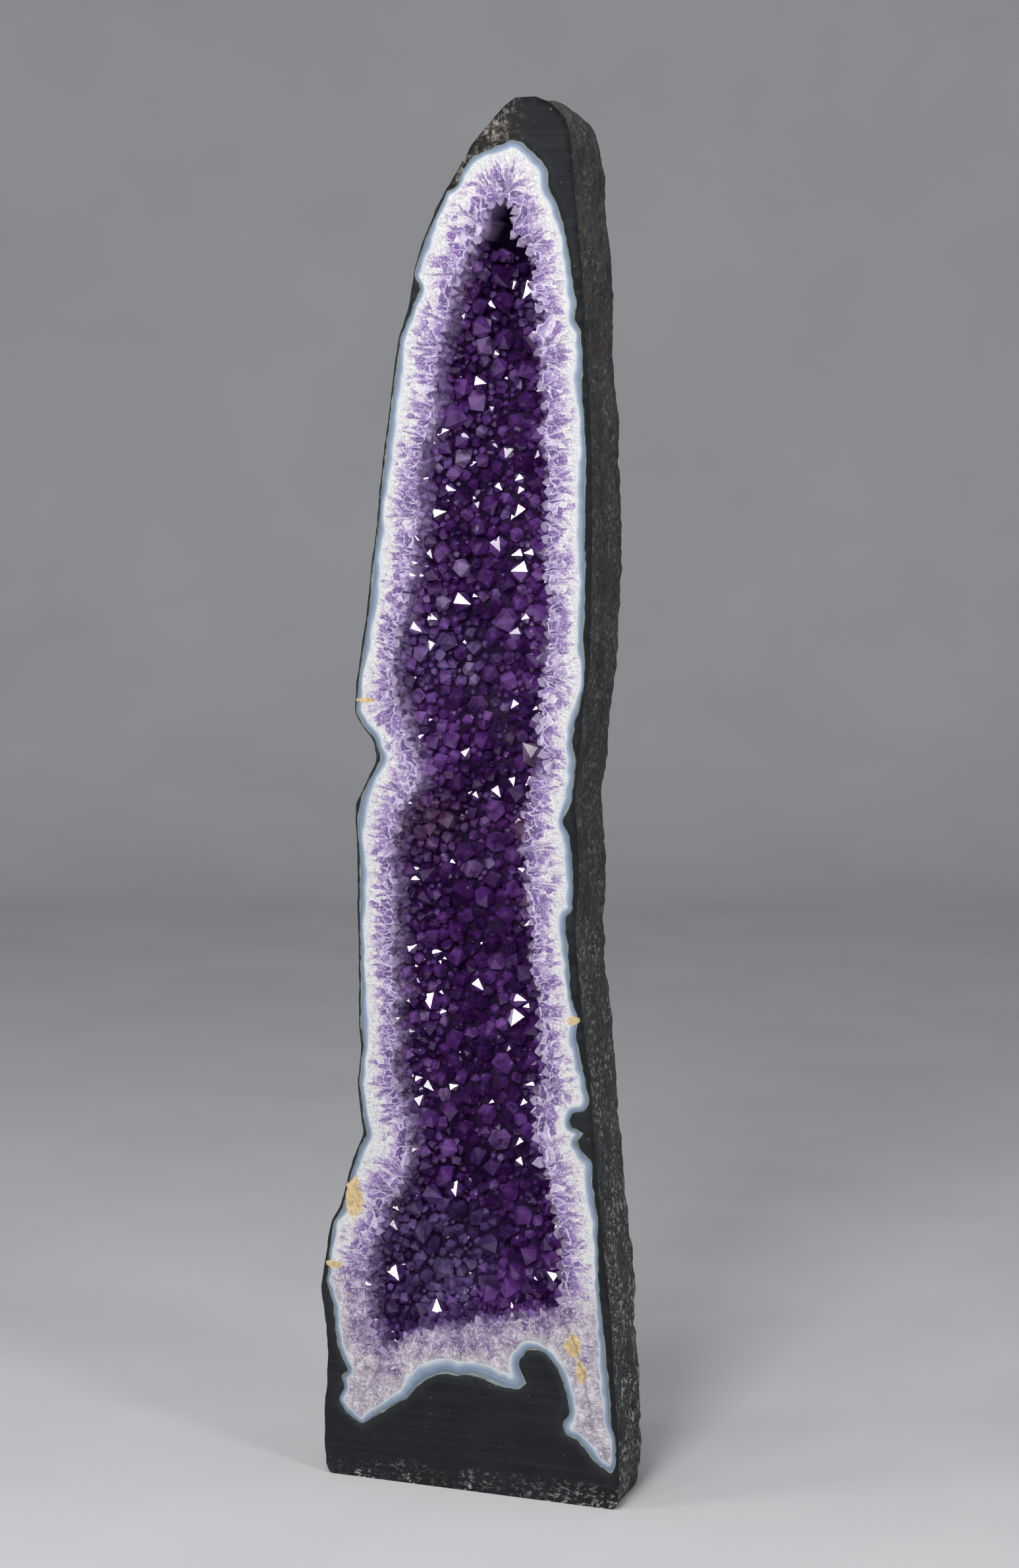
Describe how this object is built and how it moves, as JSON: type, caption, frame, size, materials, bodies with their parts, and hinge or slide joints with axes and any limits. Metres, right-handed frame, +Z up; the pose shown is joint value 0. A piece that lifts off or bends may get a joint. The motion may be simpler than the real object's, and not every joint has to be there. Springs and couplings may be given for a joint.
{
  "type": "amethyst geode",
  "caption": "Tall amethyst cathedral geode: basalt pipe sawn open lengthwise, lined with agate and purple quartz points, cut flat to stand upright",
  "frame": {"origin": "centre of the bounding box on the ground plane, under the flat-cut foot", "axes": "+Z up along the height; the sawn open face looks along -Y; +X to the right of the sawn face"},
  "size_m": [0.313, 0.158, 1.3],
  "materials": {
    "basalt": "matte dark grey rock",
    "agate": "sawn blue-grey chalcedony",
    "amethyst": "clear to purple quartz crystal"
  },
  "bodies": {
    "root": {"basalt_shell": "basalt", "agate_rim": "agate", "amethyst_lining": "amethyst"}
  },
  "joints": []
}
